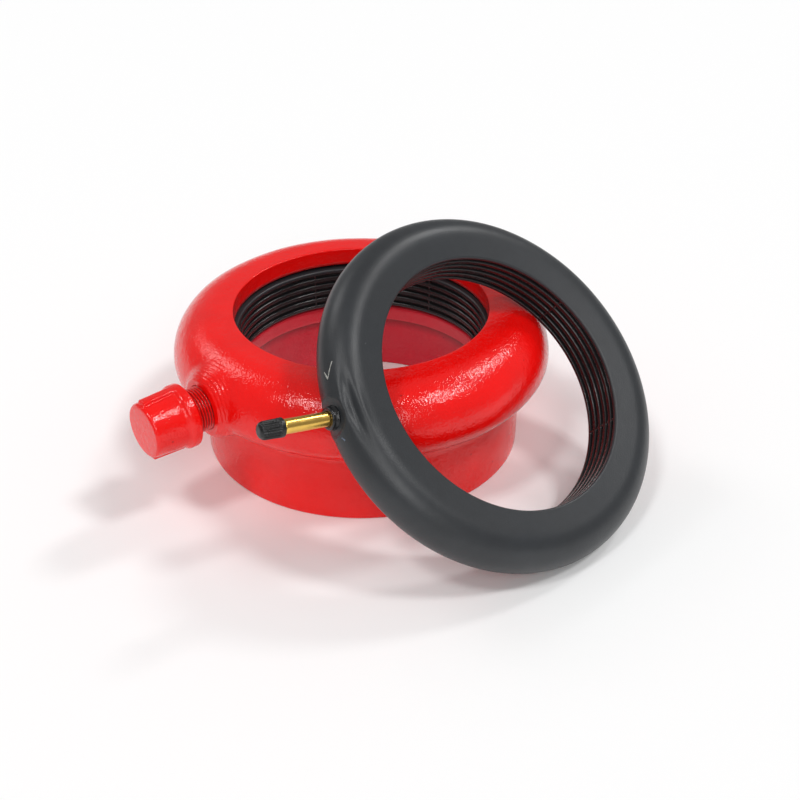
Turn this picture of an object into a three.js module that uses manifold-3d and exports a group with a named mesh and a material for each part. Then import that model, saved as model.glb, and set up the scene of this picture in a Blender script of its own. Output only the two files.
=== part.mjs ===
// Inflatable pipe seal, in millimetres, +Z up. A cast housing slips over a pipe and holds a hollow rubber
// ring, blown up through a tyre-type valve that sits under a screwed pipe cap at the side outlet. A spare
// ring leans against the housing. The origin is on the pipe's axis at the foot of the housing's skirt, and
// the side outlet points along -X.
import * as THREE from 'three';
import { mergeVertices } from 'three/addons/utils/BufferGeometryUtils.js';
import Module from 'manifold-3d';

const wasm = await Module();
wasm.setup();

// Room between pieces that touch, and between a ring and the chamber that holds it.
const seatGap = 0.3;
const chamberGap = 0.4;

// Rubber ring: flat grooved band towards the pipe, flat sides and a round back.
const ringInnerRadius = 78.2;
const ringOuterRadius = 109.9;
const ringHalfThickness = 16;
const ringFaceFall = 1.8;
const ringEdgeRound = 1.6;
const ringWall = 4.5;
const ringBandWall = 7;
const grooveCount = 5;
const groovePitch = 5.1;
const grooveMouth = 2.8;
const grooveFloor = 1.8;
const grooveDepth = 2.4;

// Housing: two bored lips, the chamber wall outside the ring, and the skirt below, which runs into the wall
// by a fillet that takes at most one part in neckShare of the step between them.
const lipRadius = 80.5;
const lipEdge = 0.8;
const upperLip = 11.6;
const lowerLip = 10.2;
const sideWall = 9.2;
const undersideHeight = 19.5;
const skirtLength = 36.9;
const skirtRadius = 102;
const skirtBoreStep = 1.4;
const skirtEdge = 1.2;
const neckFillet = 6;
const neckDrop = 7.5;
const neckShare = 2.5;

// Side outlet: boss on the chamber wall, threaded nipple, and the cap that closes it.
const threadRadius = 13.6;
const threadPitch = 1.81;
const threadDepth = 0.9;
const nippleWall = 3.2;
const bossLand = 3.6;
const bossLength = 1.4;
const bossFlare = 7;
const bossFlareLength = 9;
const nippleShown = 10.9;
const capGrip = 15;
const capLength = 28;
const capCollarRadius = 19.5;
const capCollarLength = 5.6;
const capShoulderLength = 2.8;
const capBodyRadius = 17.7;
const capTaper = 1.1;
const capEdgeRound = 1.8;
const capEndWall = 4.6;
const capThreadLength = 16.5;
const capBoreStep = 1.2;
const lugHeight = 1.7;
const lugWidth = 6;
const lugAngle = 97;

// Tyre-type valve: rubber collar on the ring, brass stem, core and moulded dust cap.
const collarRadius = 6.4;
const collarHeight = 1.9;
const stemRadius = 4.15;
const stemShown = 26.9;
const stemFootRadius = 5.5;
const stemFootThickness = 2;
const stemThreadRadius = 3.8;
const stemThreadLength = 9.3;
const airwayRadius = 1.1;
const coreChamberRadius = 2.4;
const coreChamberLength = 21;
const plugLength = 6;
const plugBelowMouth = 0.9;
const plugBoreRadius = 1.1;
const gasketLength = 2.6;
const pinRadius = 0.5;
const pinHeadRadius = 0.8;
const cupLength = 2;
const springRadius = 1.35;
const springWire = 0.22;
const springTurns = 4;
const dustCapRadius = 5.3;
const dustCapLength = 14.3;
const dustCapDome = 2.6;
const washerThickness = 1;

// How the spare ring leans: the direction it leans in, the slope of its axis, and its valve's place round it.
const leanDirection = THREE.MathUtils.degToRad(-85.4);
const leanSlope = THREE.MathUtils.degToRad(48.9);
const spareValveTurn = THREE.MathUtils.degToRad(165.1);

// Facets round each size of piece. The housing and its ring share theirs, so that their walls run parallel.
const ringFacets = 52;
const outletFacets = 30;
const threadFacets = 20;
const valveFacets = 14;

const chamberHalfHeight = ringHalfThickness + chamberGap;
const ringHeight = skirtLength + lowerLip + chamberHalfHeight;
const topHeight = ringHeight + chamberHalfHeight + upperLip;
const ringBackCentre = ringOuterRadius - ringHalfThickness;
const chamberRadius = ringOuterRadius + chamberGap;
const housingRadius = chamberRadius + sideWall;
const shoulderRadius = chamberHalfHeight + upperLip;
const shoulderCentre = housingRadius - shoulderRadius;
const skirtBore = lipRadius + skirtBoreStep;
const bossFace = housingRadius + bossLength;
const bossRadius = threadRadius + bossLand;
const capMouth = bossFace + nippleShown;
const nippleEnd = capMouth + capGrip;
const nippleStart = chamberRadius + chamberGap;
const nippleBore = threadRadius - nippleWall;
const capBore = threadRadius + seatGap;
const collarTop = ringOuterRadius + collarHeight;
const stemShoulder = collarTop + stemShown;
const stemMouth = stemShoulder + seatGap + stemThreadLength;
const dustCapTip = stemShoulder + dustCapLength;

const redPaint = new THREE.MeshStandardMaterial({ color: 0xd31216, roughness: 0.3, metalness: 0 });
const blackRubber = new THREE.MeshStandardMaterial({ color: 0x2a2b2d, roughness: 0.7, metalness: 0 });
const brass = new THREE.MeshStandardMaterial({ color: 0xc9993f, roughness: 0.3, metalness: 1 });
const blackPlastic = new THREE.MeshStandardMaterial({ color: 0x141416, roughness: 0.45, metalness: 0 });
const springSteel = new THREE.MeshStandardMaterial({ color: 0x9a9c9e, roughness: 0.35, metalness: 1 });

function point(radius, along) {
  return new THREE.Vector2(radius, along);
}

// Points on an ellipse about a centre, from one angle to another, both in radians.
function arc(centre, across, up, from, to, steps) {
  return Array.from({ length: steps + 1 }, (_, i) => {
    const angle = from + (to - from) * i / steps;
    return point(centre.x + across * Math.cos(angle), centre.y + up * Math.sin(angle));
  });
}

// A geometry as a closed solid: corners at one place become one, and faces with no area go.
function solid(geometry) {
  const bare = geometry.clone();
  bare.deleteAttribute('normal');
  bare.deleteAttribute('uv');
  const merged = mergeVertices(bare);
  const index = merged.index.array;
  const faces = [];
  for (let i = 0; i < index.length; i += 3) {
    const [a, b, c] = index.slice(i, i + 3);
    if (a !== b && b !== c && c !== a) faces.push(a, b, c);
  }
  return new wasm.Manifold(new wasm.Mesh({
    numProp: 3,
    vertProperties: new Float32Array(merged.attributes.position.array),
    triVerts: new Uint32Array(faces),
  }));
}

// A profile of radius and height, closed on itself or by the axis, turned about +Z with its faces outwards.
function turned(profile, facets) {
  const closed = profile[0].x === 0 ? profile : [...profile, profile[0]];
  const area = closed.reduce((sum, p, i) => sum + p.cross(closed[(i + 1) % closed.length]), 0);
  const outline = area > 0 ? closed : closed.reverse();
  return solid(new THREE.LatheGeometry(outline, facets).rotateX(Math.PI / 2));
}

// The same, turned about the +X axis, so that a profile's height becomes a distance from the pipe's axis.
function turnedOutwards(profile, facets) {
  return solid(geometryOf(turned(profile, facets)).rotateY(Math.PI / 2));
}

function geometryOf(manifold) {
  const mesh = manifold.getMesh();
  const geometry = new THREE.BufferGeometry();
  geometry.setAttribute('position', new THREE.BufferAttribute(new Float32Array(mesh.vertProperties), 3));
  geometry.setIndex(new THREE.BufferAttribute(new Uint32Array(mesh.triVerts), 1));
  return geometry;
}

function piece(name, manifold, material) {
  const geometry = geometryOf(manifold);
  geometry.computeVertexNormals();
  const mesh = new THREE.Mesh(geometry, material.clone());
  mesh.name = name;
  return mesh;
}

// The ring's round back, and the chamber's, from where the upper flat side runs tangent into it to the lower.
// A side too short to run tangent meets the back straight outwards from its end.
function roundBack(radius, height) {
  const reach = point(ringInnerRadius + ringEdgeRound - ringBackCentre, ringHalfThickness - ringFaceFall);
  const tangent = reach.angle() - Math.acos(Math.min(1, ringHalfThickness / reach.length()));
  return arc(point(ringBackCentre, height), radius, radius, tangent, -tangent, 9);
}

// Housing outline: skirt, neck fillet, flattened underside, round shoulder and flat top, then back down
// the bored lips with the ring's chamber between them.
function housingProfile() {
  const middle = point(shoulderCentre, ringHeight);
  const fillet = Math.min(neckFillet, (housingRadius - skirtRadius) / neckShare);
  const neckRadius = skirtRadius + fillet;
  const neckAngle = Math.acos((neckRadius - shoulderCentre) / shoulderRadius);
  const neck = point(neckRadius, ringHeight - undersideHeight * Math.sin(neckAngle));
  const slope = undersideHeight / (shoulderRadius * Math.tan(neckAngle));
  const corner = point(skirtRadius, neck.y - fillet * slope);
  const neckCurve = new THREE.QuadraticBezierCurve(point(skirtRadius, corner.y - neckDrop), corner, neck);
  return [
    point(skirtBore, 0),
    point(skirtRadius - skirtEdge, 0),
    point(skirtRadius, skirtEdge),
    ...neckCurve.getPoints(4),
    ...arc(middle, shoulderRadius, undersideHeight, -neckAngle, 0, 4).slice(1),
    ...arc(middle, shoulderRadius, shoulderRadius, 0, Math.PI / 2, 7).slice(1),
    point(lipRadius + lipEdge, topHeight),
    point(lipRadius, topHeight - lipEdge),
    point(lipRadius, topHeight - upperLip),
    ...roundBack(chamberHalfHeight, ringHeight),
    point(lipRadius, skirtLength + lowerLip),
    point(lipRadius, skirtLength),
    point(skirtBore, skirtLength),
  ];
}

// The boss flares into the chamber wall, and ends in a flat face round the nipple.
function bossSolid() {
  return turnedOutwards([
    point(0, nippleStart),
    point(bossRadius + bossFlare, nippleStart),
    point(bossRadius + bossFlare, bossFace - bossFlareLength),
    point(bossRadius + bossFlare * 0.35, bossFace - bossFlareLength * 0.5),
    point(bossRadius, bossFace - seatGap),
    point(bossRadius - seatGap, bossFace),
    point(0, bossFace),
  ], outletFacets);
}

function housing() {
  const boss = bossSolid().rotate([0, 0, 180]).translate([0, 0, ringHeight]);
  const hole = turnedOutwards([
    point(0, ringBackCentre),
    point(threadRadius + seatGap, ringBackCentre),
    point(threadRadius + seatGap, bossFace + 1),
    point(0, bossFace + 1),
  ], outletFacets).rotate([0, 0, 180]).translate([0, 0, ringHeight]);
  const casting = turned(housingProfile(), ringFacets).add(boss);
  return casting.subtract(hole);
}

// Thread ridges as plain rings, one for each pitch, between two places along the nipple.
function ridges(start, end) {
  const count = Math.floor((end - start) / threadPitch);
  const pitch = (end - start) / count;
  return Array.from({ length: count }, (_, i) => [
    point(threadRadius - threadDepth, start + pitch * i),
    point(threadRadius, start + pitch * (i + 0.5)),
  ]).flat();
}

function outletNipple() {
  return turnedOutwards([
    point(nippleBore, nippleStart),
    ...ridges(nippleStart, nippleEnd),
    point(threadRadius - threadDepth, nippleEnd),
    point(nippleBore, nippleEnd),
  ], threadFacets);
}

// Radius of the cap's tapered body at a place along it.
function capRadiusAt(along) {
  return capBodyRadius - capTaper * (along - capMouth) / capLength;
}

function capProfile() {
  const face = capMouth + capLength;
  const shoulderStart = capMouth + capCollarLength;
  const edge = face - capEdgeRound;
  const edgeCentre = point(capRadiusAt(edge) - capEdgeRound, edge);
  const innerFace = face - capEndWall;
  return [
    point(0, innerFace),
    point(capBore - capBoreStep, innerFace),
    point(capBore - capBoreStep, capMouth + capThreadLength),
    point(capBore, capMouth + capThreadLength),
    point(capBore, capMouth),
    point(capCollarRadius - seatGap, capMouth),
    point(capCollarRadius, capMouth + seatGap),
    point(capCollarRadius, shoulderStart - capShoulderLength / 2),
    point(capCollarRadius - seatGap * 2, shoulderStart),
    point(capRadiusAt(shoulderStart + capShoulderLength), shoulderStart + capShoulderLength),
    ...arc(edgeCentre, capEdgeRound, capEdgeRound, 0, Math.PI / 2, 4),
    point(0, face),
  ];
}

// A wrench lug: a straight rib along the cap's body, from the collar to the rounded edge.
function lug(turn) {
  const start = capMouth + capCollarLength;
  const end = capMouth + capLength - capEdgeRound;
  const inside = capBore + seatGap;
  const outside = capBodyRadius + lugHeight;
  const side = new THREE.Shape([
    point(start, inside),
    point(end, inside),
    point(end, capRadiusAt(end)),
    point(end - lugHeight, outside - capTaper),
    point(start, outside),
  ]);
  const rib = new THREE.ExtrudeGeometry(side, { depth: lugWidth, bevelEnabled: false });
  rib.translate(0, 0, -lugWidth / 2);
  return solid(rib).rotate([turn, 0, 0]);
}

function outletCap() {
  const body = turnedOutwards(capProfile(), outletFacets);
  return body.add(lug(lugAngle)).add(lug(lugAngle + 180));
}

// Ring outline: the grooved band, a small round, then a side that runs tangent into the round back.
function ringProfile() {
  const band = ringHalfThickness - ringFaceFall;
  const grooves = Array.from({ length: grooveCount }, (_, i) => {
    const middle = groovePitch * (i - (grooveCount - 1) / 2);
    return [
      point(ringInnerRadius, middle - grooveMouth / 2),
      point(ringInnerRadius + grooveDepth, middle - grooveFloor / 2),
      point(ringInnerRadius + grooveDepth, middle + grooveFloor / 2),
      point(ringInnerRadius, middle + grooveMouth / 2),
    ];
  }).flat();
  return [
    point(ringInnerRadius, ringEdgeRound - band),
    ...grooves,
    point(ringInnerRadius, band - ringEdgeRound),
    point(ringInnerRadius + ringEdgeRound, band),
    ...roundBack(ringHalfThickness, 0),
    point(ringInnerRadius + ringEdgeRound, -band),
  ];
}

// The air chamber inside the ring follows the outline, one wall further in.
function airProfile() {
  const band = ringHalfThickness - ringFaceFall - ringWall;
  const start = ringInnerRadius + ringBandWall;
  return [
    point(start, -band),
    point(start, band),
    ...roundBack(ringHalfThickness - ringWall, 0),
  ];
}

function sealRing() {
  const collar = turnedOutwards([
    point(0, ringOuterRadius - ringWall / 2),
    point(collarRadius, ringOuterRadius - ringWall / 2),
    point(collarRadius, collarTop - seatGap),
    point(collarRadius - seatGap, collarTop),
    point(0, collarTop),
  ], valveFacets);
  const valveHole = turnedOutwards([
    point(0, ringBackCentre),
    point(stemRadius + seatGap, ringBackCentre),
    point(stemRadius + seatGap, collarTop + 1),
    point(0, collarTop + 1),
  ], valveFacets);
  const rubber = turned(ringProfile(), ringFacets).add(collar);
  return rubber.subtract(turned(airProfile(), ringFacets)).subtract(valveHole);
}

// The foot lies inside the air chamber, just clear of its curved wall.
function stemFoot() {
  const air = ringHalfThickness - ringWall;
  const hollow = air - Math.sqrt(air ** 2 - stemFootRadius ** 2);
  return ringOuterRadius - ringWall - hollow - seatGap * 2;
}

function valveStem() {
  const foot = stemFoot();
  const start = foot - stemFootThickness;
  const core = stemMouth - coreChamberLength;
  return turnedOutwards([
    point(airwayRadius, start),
    point(stemFootRadius, start),
    point(stemFootRadius, foot),
    point(stemRadius, foot),
    point(stemRadius, stemShoulder - seatGap),
    point(stemThreadRadius, stemShoulder),
    point(stemThreadRadius, stemMouth - seatGap),
    point(stemThreadRadius - seatGap, stemMouth),
    point(coreChamberRadius, stemMouth),
    point(coreChamberRadius, core),
    point(airwayRadius, core),
  ], valveFacets);
}

// Places of the core's pieces along the stem, from the mouth inwards: the plug presses the gasket down, and
// the spring lifts the cup and its pin against the gasket from a ledge at the bottom of the core's chamber.
const plugEnd = stemMouth - plugBelowMouth;
const plugStart = plugEnd - plugLength;
const gasketStart = plugStart - seatGap - gasketLength;
const cupEnd = gasketStart - seatGap;
const cupStart = cupEnd - cupLength;
const springStart = stemMouth - coreChamberLength + seatGap;
const springEnd = cupStart - seatGap;

function sleeve(inside, outside, start, end) {
  return turnedOutwards([
    point(inside, start),
    point(outside, start),
    point(outside, end),
    point(inside, end),
  ], valveFacets);
}

function corePin() {
  const head = plugEnd - seatGap;
  return turnedOutwards([
    point(0, cupStart),
    point(pinRadius, cupStart),
    point(pinRadius, head - pinHeadRadius),
    point(pinHeadRadius, head - pinHeadRadius),
    point(pinHeadRadius, head),
    point(0, head),
  ], valveFacets);
}

function coreGasket() {
  const outside = coreChamberRadius - seatGap;
  return turnedOutwards([
    point(plugBoreRadius, gasketStart),
    point(outside - seatGap, gasketStart),
    point(outside, gasketStart + gasketLength),
    point(plugBoreRadius, gasketStart + gasketLength),
  ], valveFacets);
}

class SpringCurve extends THREE.Curve {
  getPoint(t) {
    const angle = 2 * Math.PI * springTurns * t;
    const start = springStart + springWire;
    const along = start + (springEnd - springWire - start) * t;
    return new THREE.Vector3(along, springRadius * Math.cos(angle), springRadius * Math.sin(angle));
  }
}

function coreSpring() {
  const wire = new THREE.Shape(arc(point(0, 0), springWire, springWire, 0, 2 * Math.PI * 4 / 5, 4));
  const steps = springTurns * 8;
  const options = { steps, extrudePath: new SpringCurve(), bevelEnabled: false };
  return solid(new THREE.ExtrudeGeometry(wire, options));
}

function dustCap() {
  const wall = stemMouth + seatGap * 2 + washerThickness;
  const domeStart = dustCapTip - dustCapDome;
  const dome = arc(point(dustCapRadius - dustCapDome, domeStart), dustCapDome, dustCapDome, 0, Math.PI / 2, 4);
  return turnedOutwards([
    point(0, wall),
    point(stemThreadRadius + seatGap, wall),
    point(stemThreadRadius + seatGap, stemShoulder + seatGap),
    point(dustCapRadius - seatGap, stemShoulder + seatGap),
    point(dustCapRadius, stemShoulder + seatGap * 2),
    ...dome,
    point(0, dustCapTip),
  ], valveFacets);
}

function capWasher() {
  const start = stemMouth + seatGap;
  return turnedOutwards([
    point(0, start),
    point(stemThreadRadius, start),
    point(stemThreadRadius, start + washerThickness),
    point(0, start + washerThickness),
  ], valveFacets);
}

// One ring with its valve: the ring's axis is local Z and the valve points along local X.
function ringWithValve(prefix) {
  const group = new THREE.Group();
  const coreOutside = coreChamberRadius - seatGap;
  group.add(
    piece(`${prefix}_seal_ring`, sealRing(), blackRubber),
    piece(`${prefix}_valve_stem`, valveStem(), brass),
    piece(`${prefix}_core_plug`, sleeve(plugBoreRadius, coreOutside, plugStart, plugEnd), brass),
    piece(`${prefix}_core_gasket`, coreGasket(), blackRubber),
    piece(`${prefix}_core_pin`, corePin(), brass),
    piece(`${prefix}_core_cup`, sleeve(pinRadius + seatGap, coreOutside, cupStart, cupEnd), brass),
    piece(`${prefix}_core_spring`, coreSpring(), springSteel),
    piece(`${prefix}_dust_cap`, dustCap(), blackPlastic),
    piece(`${prefix}_cap_washer`, capWasher(), blackRubber),
  );
  return group;
}

// Gap between the housing's round shoulder or flat top and a point at a radius and a height.
function gapToHousing(radius, height) {
  if (radius < shoulderCentre) return height - topHeight;
  return Math.hypot(radius - shoulderCentre, height - ringHeight) - shoulderRadius;
}

// Smallest gap to the housing when the leaning ring's centre is a distance away from the pipe's axis.
function leanGap(distance, height) {
  const outline = ringProfile();
  let least = Infinity;
  for (let step = 0; step <= 180; step += 1) {
    const turn = Math.PI * step / 180 - Math.PI / 2;
    for (const { x: radius, y: along } of outline) {
      const uphill = -radius * Math.cos(turn) * Math.sin(leanSlope) + along * Math.cos(leanSlope);
      const up = radius * Math.cos(turn) * Math.cos(leanSlope) + along * Math.sin(leanSlope);
      const outwards = distance + uphill;
      const sideways = radius * Math.sin(turn);
      least = Math.min(least, gapToHousing(Math.hypot(outwards, sideways), height + up));
    }
  }
  return least;
}

// The spare ring stands on the floor at its edge, and comes in until it just clears the housing.
function leanPlace() {
  const height = ringBackCentre * Math.cos(leanSlope) + ringHalfThickness;
  let near = 0;
  let far = housingRadius + ringOuterRadius * 2;
  for (let i = 0; i < 40; i += 1) {
    const middle = (near + far) / 2;
    if (leanGap(middle, height) < seatGap) near = middle;
    else far = middle;
  }
  return { distance: far, height };
}

function spareRing() {
  const { distance, height } = leanPlace();
  const ring = ringWithValve('spare');
  ring.rotation.z = spareValveTurn;
  const tilted = new THREE.Group();
  tilted.rotation.x = Math.PI / 2 - leanSlope;
  tilted.add(ring);
  const leaning = new THREE.Group();
  leaning.rotation.z = leanDirection + Math.PI / 2;
  leaning.position.set(distance * Math.cos(leanDirection), distance * Math.sin(leanDirection), height);
  leaning.add(tilted);
  return leaning;
}

function atOutlet(...members) {
  const group = new THREE.Group();
  group.rotation.z = Math.PI;
  group.position.z = ringHeight;
  group.add(...members);
  return group;
}

const seal = new THREE.Group();
seal.add(
  piece('housing', housing(), redPaint),
  atOutlet(
    piece('outlet_nipple', outletNipple(), redPaint),
    piece('outlet_cap', outletCap(), redPaint),
    ringWithValve('fitted'),
  ),
  spareRing(),
);

export default seal;
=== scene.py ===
import math

import bmesh
import bpy
import numpy as np
from mathutils import Matrix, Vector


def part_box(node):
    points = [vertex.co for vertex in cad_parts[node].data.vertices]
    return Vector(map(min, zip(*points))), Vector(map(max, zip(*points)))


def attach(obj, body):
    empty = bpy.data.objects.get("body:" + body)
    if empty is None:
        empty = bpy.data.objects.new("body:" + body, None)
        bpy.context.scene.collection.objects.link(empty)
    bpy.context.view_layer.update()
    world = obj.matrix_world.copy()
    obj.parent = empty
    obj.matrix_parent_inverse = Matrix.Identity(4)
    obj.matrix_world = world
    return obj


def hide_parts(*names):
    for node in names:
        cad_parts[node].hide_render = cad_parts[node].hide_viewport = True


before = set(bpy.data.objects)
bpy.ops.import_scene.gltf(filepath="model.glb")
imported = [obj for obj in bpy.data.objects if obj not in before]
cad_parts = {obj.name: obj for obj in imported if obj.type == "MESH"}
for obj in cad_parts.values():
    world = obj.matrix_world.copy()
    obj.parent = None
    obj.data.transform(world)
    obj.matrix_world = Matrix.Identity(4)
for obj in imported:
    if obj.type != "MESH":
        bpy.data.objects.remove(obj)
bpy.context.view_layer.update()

# Camera
# The photo was taken from the outlet's side, a little above the set, with a normal lens.

camera = bpy.data.objects.new("camera", bpy.data.cameras.new("camera"))
camera.data.lens = 53.1
camera.data.sensor_width = 36
camera.data.dof.use_dof = False
camera.matrix_world = (
    Matrix.Translation((-0.4075, -0.5185, 0.4431))
    @ Matrix.Rotation(math.radians(-40.3), 4, "Z")
    @ Matrix.Rotation(math.radians(90 - 32.74), 4, "X")
    @ Matrix.Rotation(math.radians(0.27), 4, "Z")
)
bpy.context.scene.collection.objects.link(camera)
bpy.context.scene.camera = camera
bpy.context.scene.view_settings.view_transform = "Standard"

# Table and lights
# A white table under soft lamps overhead, as for a catalogue picture, with white all round.

table_half = 6.0
table_colour = (0.97, 0.97, 0.97, 1)
room_light = 0.30
lamps = [
    # name, direction it comes from (azimuth, elevation), spread in degrees, strength
    ("lamp_camera_side", -122, 36, 32, 0.84),
    ("lamp_front", -54, 57, 10, 0.78),
    ("lamp_left", -176, 62, 10, 0.62),
    ("lamp_right", 0, 48, 10, 0.50),
    ("lamp_back", 103, 40, 20, 0.36),
]


def node(tree, kind, inputs=None, **settings):
    """A new shader node: a setting is set, an input takes a value, or is joined if it is another's output."""
    made = tree.nodes.new("ShaderNode" + kind)
    for name, value in settings.items():
        setattr(made, name, value)
    for key, value in (inputs or {}).items():
        if isinstance(value, bpy.types.NodeSocket):
            tree.links.new(value, made.inputs[key])
        else:
            made.inputs[key].default_value = value
    return made


def stretched(tree, value, low, high, first, last):
    """A value whose range from low to high is stretched to run from first to last."""
    return node(tree, "MapRange", {0: value, 1: low, 2: high, 3: first, 4: last}).outputs[0]


table_material = bpy.data.materials.new("white_table")
table_material.use_nodes = True
table_shader = table_material.node_tree.nodes["Principled BSDF"]
table_shader.inputs["Base Color"].default_value = table_colour
table_shader.inputs["Roughness"].default_value = 0.9
table_shader.inputs["Specular IOR Level"].default_value = 0.1
table_mesh = bpy.data.meshes.new("white_table")
table_corners = [(-1, -1), (1, -1), (1, 1), (-1, 1)]
table_mesh.from_pydata([(x * table_half, y * table_half, 0) for x, y in table_corners], [], [(0, 1, 2, 3)])
table_mesh.materials.append(table_material)
table = bpy.data.objects.new("white_table", table_mesh)
bpy.context.scene.collection.objects.link(table)

for lamp_name, azimuth, elevation, spread, strength in lamps:
    lamp = bpy.data.objects.new(lamp_name, bpy.data.lights.new(lamp_name, "SUN"))
    lamp.data.energy = strength
    lamp.data.angle = math.radians(spread)
    lamp.rotation_euler = (math.radians(90 - elevation), 0, math.radians(azimuth + 90))
    bpy.context.scene.collection.objects.link(lamp)

world = bpy.data.worlds.new("white_room")
world.use_nodes = True
bpy.context.scene.world = world
background = world.node_tree.nodes["Background"]
background.inputs["Color"].default_value = (1, 1, 1, 1)
seen = node(world.node_tree, "LightPath").outputs["Is Camera Ray"]
brightness = stretched(world.node_tree, seen, 0, 1, room_light, 1)
world.node_tree.links.new(brightness, background.inputs["Strength"])

# Housing
# One iron casting: a skirt, a chamber with a round shoulder and two bored lips, and a boss that flares
# into the shoulder round the outlet. It is painted thickly in glossy red over the rough cast skin.

mm = 0.001
housing_height = 63.5
shoulder_centre = 91.5
shoulder_radius = 28.0
underside_height = 19.5
top_height = 91.5
skirt_radius = 102.0
skirt_bore = 81.9
lip_radius = 80.5
lip_edge = 0.8
chamber_centre = 93.9
chamber_radius = 16.4
chamber_edge_turn = 97.9
skirt_top = 36.9
boss_radius = 17.0
boss_flare, boss_flare_depth = 5.5, 4.5
boss_face = 120.3
boss_blend = 5.0
boss_patch = 34
bead_radius, bead_width, bead_pitch, bead_height = 21, 4.5, 3.4, 0.60
sight_radius, sight_start, sight_steps, sight_share = 88.0, 62.0, 90, 0.6
swell_centre, swell_length, swell_height = 85, 9, 0.11
# How dark the painted shade in the nipple thread's grooves gets.
groove_painted_shade = 0.72
drill_start, drill_end, drill_columns = 100.0, 130, 120
# Where the bores' painted shade and reflection end, and where the lower lip's painted light starts, in metres.
bore_shade_radius, bore_shade_top, lip_light_foot = 0.0827, 0.0475, 0.0366
# Painted shadow under the lower lip: its foot, its top and how dark it gets, in metres.
lip_shade_foot, lip_shade_top, lip_shade_depth = 0.0300, 0.0362, 0.45
outlet_hole = 13.9
red = (0.90, 0.004, 0.003)
# The bores are painted darker and pinker as shade and reflection, and the lower lip lighter as light falling
# on it.
red_bore_painted_shade = (0.74, 0.016, 0.040)
red_lip_painted_light = (0.84, 0.035, 0.060)


def stroke(start, end, steps):
    """Points evenly along a line, without its last one."""
    share = np.linspace(0, 1, steps, endpoint=False)[:, None]
    return np.array(start) + share * (np.array(end) - np.array(start))


def bend(centre, across, up, start, end, steps):
    """Points along an ellipse from one angle to another in degrees, without the last one."""
    angle = np.radians(np.linspace(start, end, steps, endpoint=False))
    return np.column_stack([centre[0] + across * np.cos(angle), centre[1] + up * np.sin(angle)])


def hook(start, corner, end, steps):
    """Points along the curve that leaves start and reaches end towards one corner, without the last one."""
    share = np.linspace(0, 1, steps, endpoint=False)[:, None]
    start, corner, end = map(np.array, (start, corner, end))
    return start * (1 - share) ** 2 + corner * 2 * share * (1 - share) + end * share**2


def waves(seed, *places):
    """Soft bumps of about one in height: twice the mean of seven sine waves of random direction and length."""
    chance = np.random.default_rng(seed)
    total = 0
    for _ in range(7):
        turns = sum(chance.uniform(-1, 1) * place for place in places)
        total = total + np.sin(turns + chance.uniform(0, 2 * math.pi))
    return total / 3.5


def skin(name, grids, material, body, *nodes, marks=None):
    """One mesh from grids of points in millimetres, each joined round in its second direction and, if closed,
    in its first. Doubled points are merged and the faces turned outwards, and it takes the nodes' place."""
    points, faces, offset = [], [], 0
    for grid, closed in grids:
        rows, columns = grid.shape[:2]
        index = np.arange(rows * columns).reshape(rows, columns) + offset
        near = index if closed else index[:-1]
        far = np.roll(index, -1, 0) if closed else index[1:]
        faces.append(np.stack([near, np.roll(near, -1, 1), np.roll(far, -1, 1), far], -1).reshape(-1, 4))
        points.append(grid.reshape(-1, 3))
        offset += rows * columns
    points, faces = np.concatenate(points) * mm, np.concatenate(faces)
    mesh = bpy.data.meshes.new(name)
    mesh.vertices.add(len(points))
    mesh.vertices.foreach_set("co", points.ravel())
    mesh.loops.add(faces.size)
    mesh.loops.foreach_set("vertex_index", faces.ravel())
    mesh.polygons.add(len(faces))
    mesh.polygons.foreach_set("loop_start", np.arange(0, faces.size, 4))
    mesh.update(calc_edges=True)
    for mark, values in (marks or {}).items():
        mesh.attributes.new(mark, "FLOAT", "POINT").data.foreach_set("value", values.ravel())
    work = bmesh.new()
    work.from_mesh(mesh)
    bmesh.ops.remove_doubles(work, verts=work.verts, dist=1e-6)
    bmesh.ops.recalc_face_normals(work, faces=work.faces)
    work.to_mesh(mesh)
    work.free()
    mesh.validate()
    mesh.shade_smooth()
    mesh.materials.append(material)
    made = bpy.data.objects.new(name, mesh)
    bpy.context.scene.collection.objects.link(made)
    if body:
        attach(made, body)
        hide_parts(*nodes)
    return made


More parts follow.
